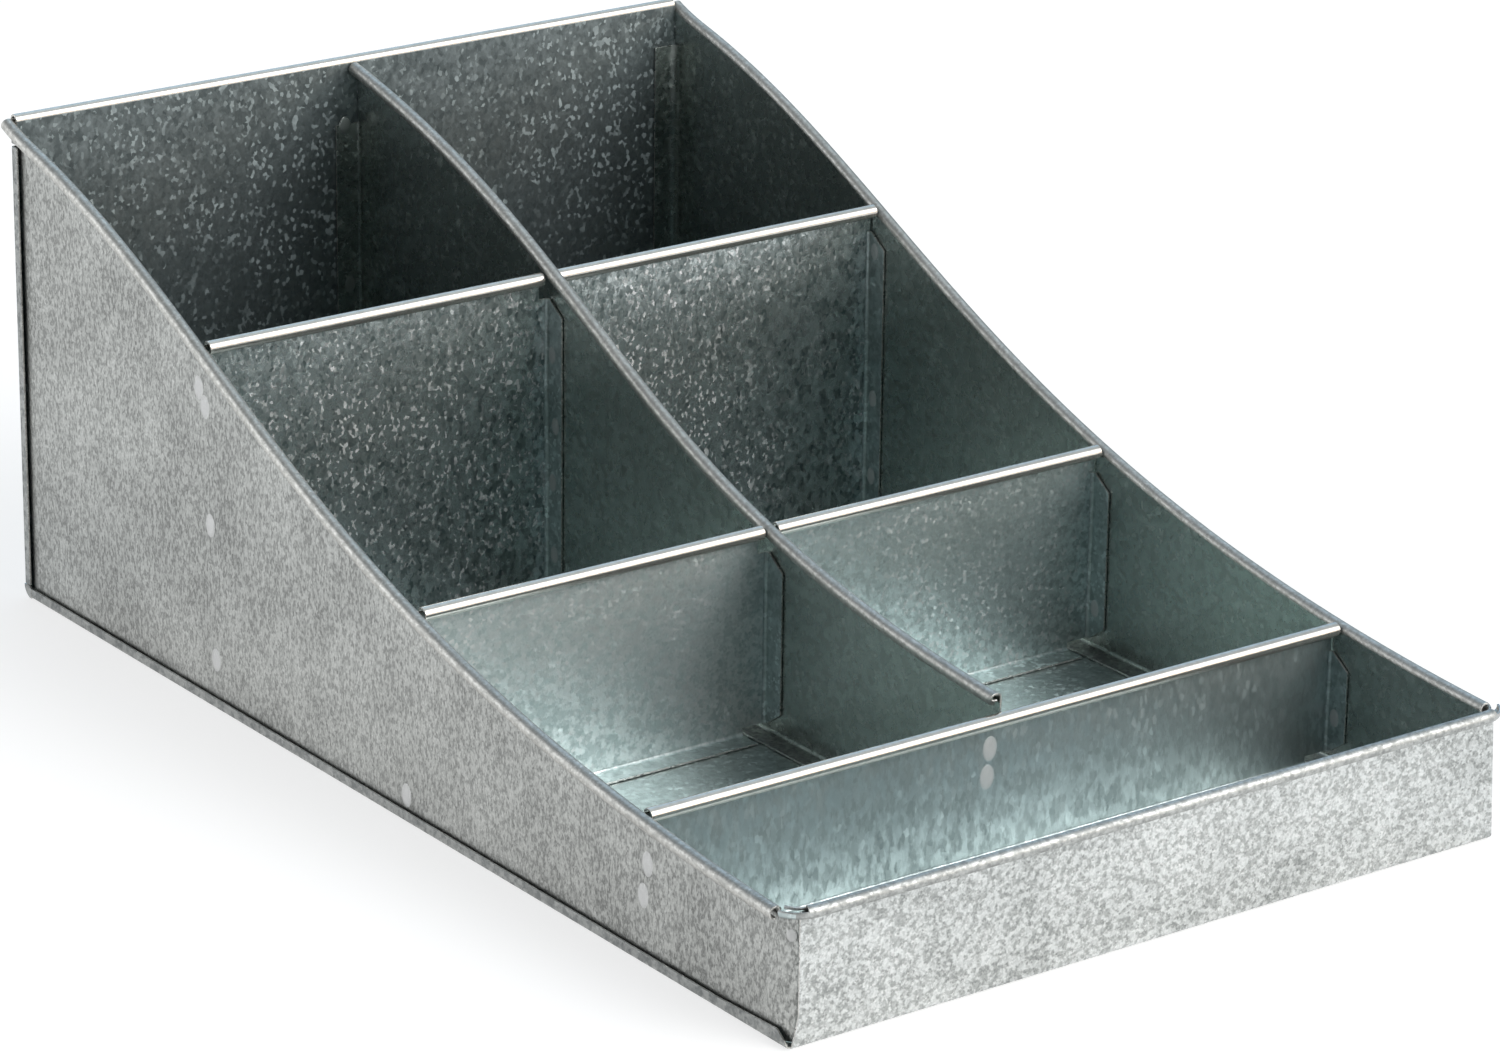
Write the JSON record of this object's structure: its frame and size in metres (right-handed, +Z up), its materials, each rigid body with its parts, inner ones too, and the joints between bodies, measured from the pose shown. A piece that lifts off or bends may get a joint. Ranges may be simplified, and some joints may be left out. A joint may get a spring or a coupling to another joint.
{
  "type": "condiment organizer",
  "caption": "Stepped galvanised sheet-steel organizer with bins that step down to a full-width front tray, for condiment packets, cups and cutlery.",
  "frame": {"origin": "middle of the underside", "axes": "+X to the right along the front, +Y towards the back, +Z up"},
  "size_m": [0.2714, 0.4368, 0.1665],
  "materials": {
    "wrap_sheet": "galvanised, coarse spangle",
    "side_panels": "galvanised, fine satin grain",
    "partition": "galvanised, fine satin grain",
    "dividers": "galvanised, coarse spangle"
  },
  "bodies": {
    "root": {"wrap_sheet": "wrap_sheet", "left_side_panel": "side_panels", "right_side_panel": "side_panels", "centre_partition": "partition", "rear_divider_left": "dividers", "rear_divider_right": "dividers", "middle_divider_left": "dividers", "middle_divider_right": "dividers", "front_divider": "dividers"}
  },
  "joints": []
}
